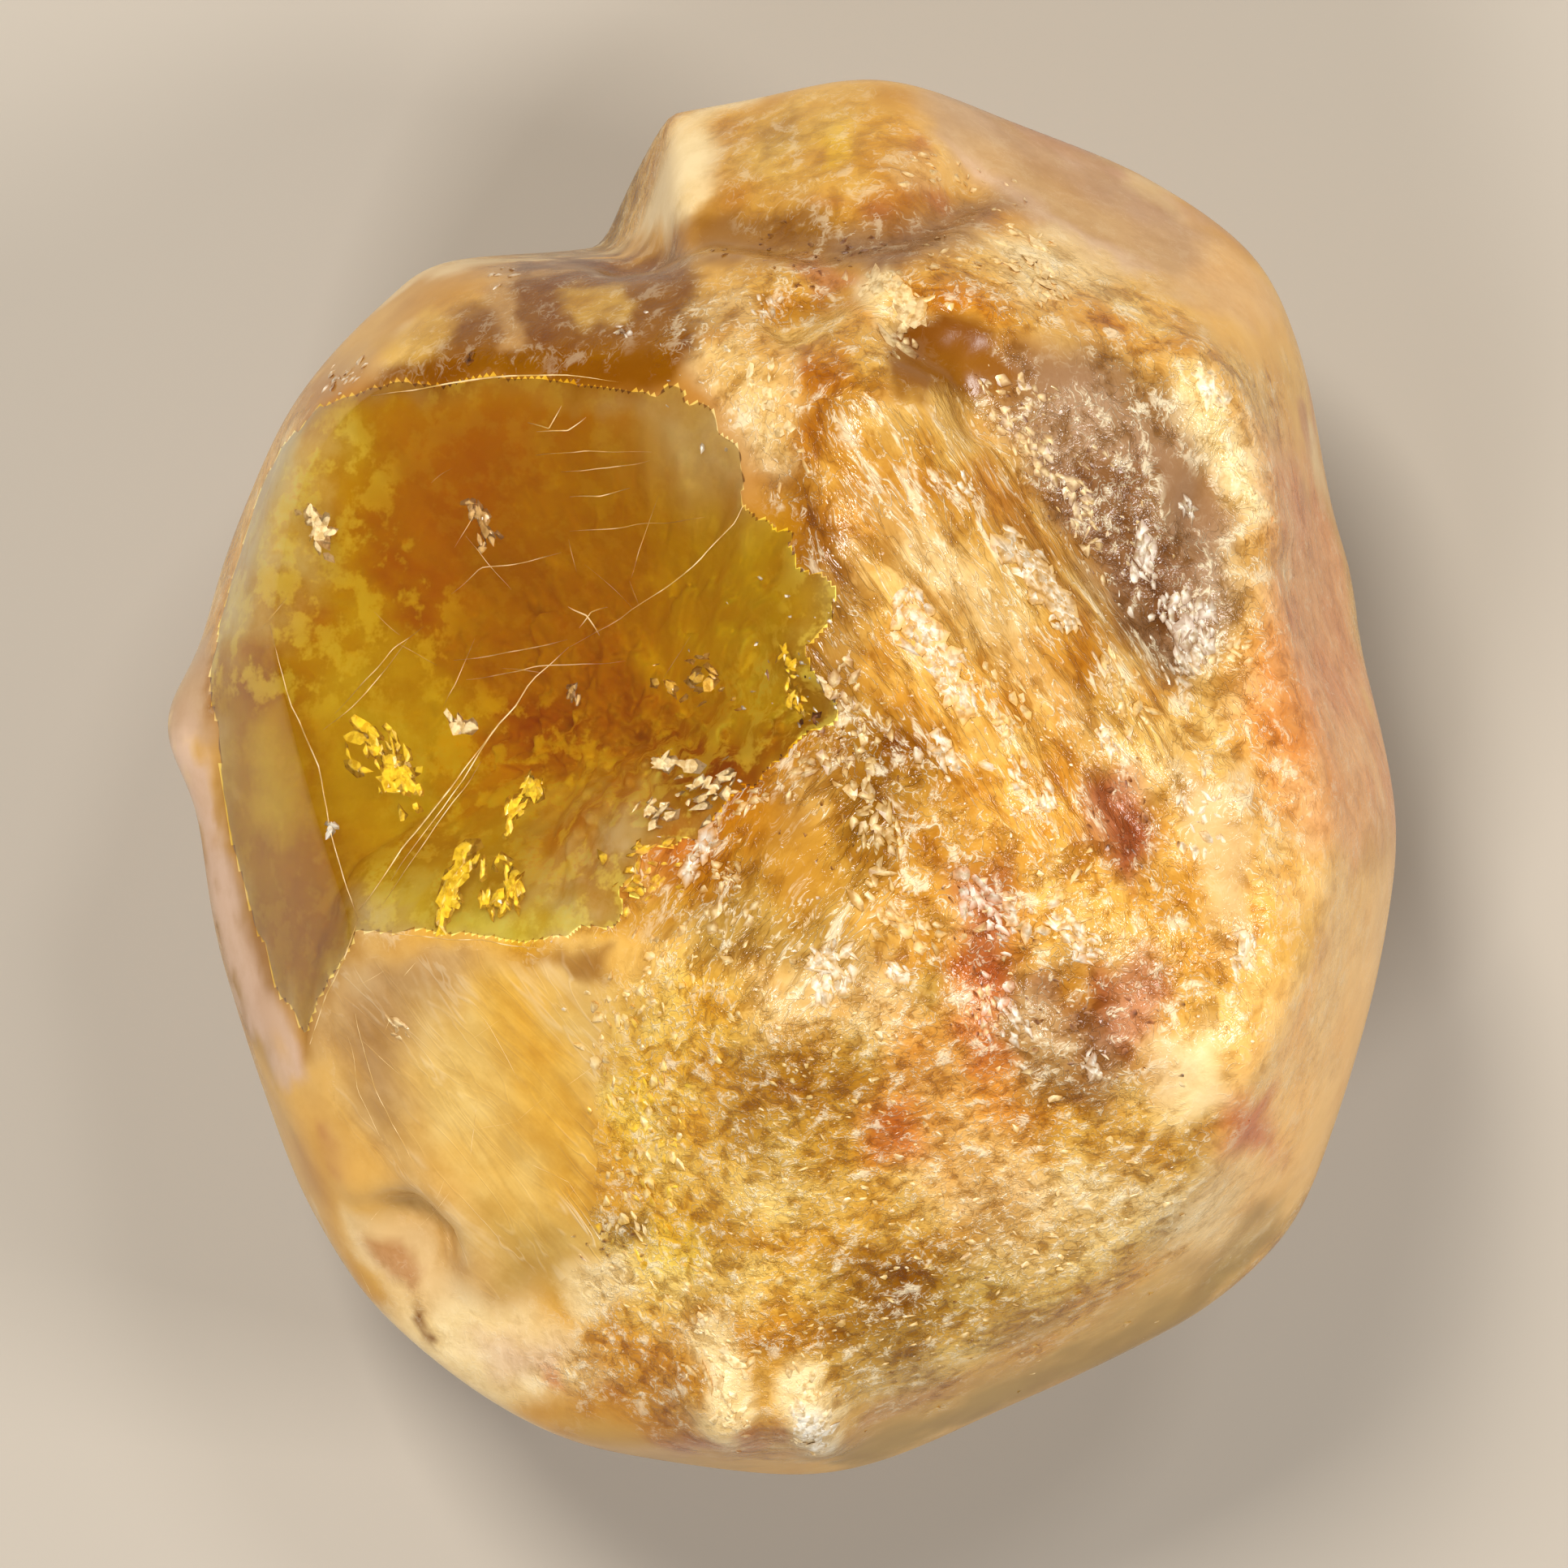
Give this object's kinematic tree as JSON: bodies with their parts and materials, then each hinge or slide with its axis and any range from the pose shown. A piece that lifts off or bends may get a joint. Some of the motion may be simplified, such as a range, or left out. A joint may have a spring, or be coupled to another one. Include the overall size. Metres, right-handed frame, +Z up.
{
  "type": "tumbled grossular garnet",
  "caption": "Tumbled golden-brown garnet crystal with soft facets, rounded edges, a clear window and a broken upper corner.",
  "frame": {"origin": "under the middle of the stone's box, on the flat face that it rests on", "axes": "+Z up out of the resting face towards the front facets, +Y the long way towards the broken top lobe, +X to the right of it"},
  "size_m": [0.0192, 0.022, 0.0153],
  "materials": {
    "garnet": "polished, see-through golden brown with cloudy inclusions"
  },
  "bodies": {
    "root": {"garnet": "garnet"}
  },
  "joints": []
}
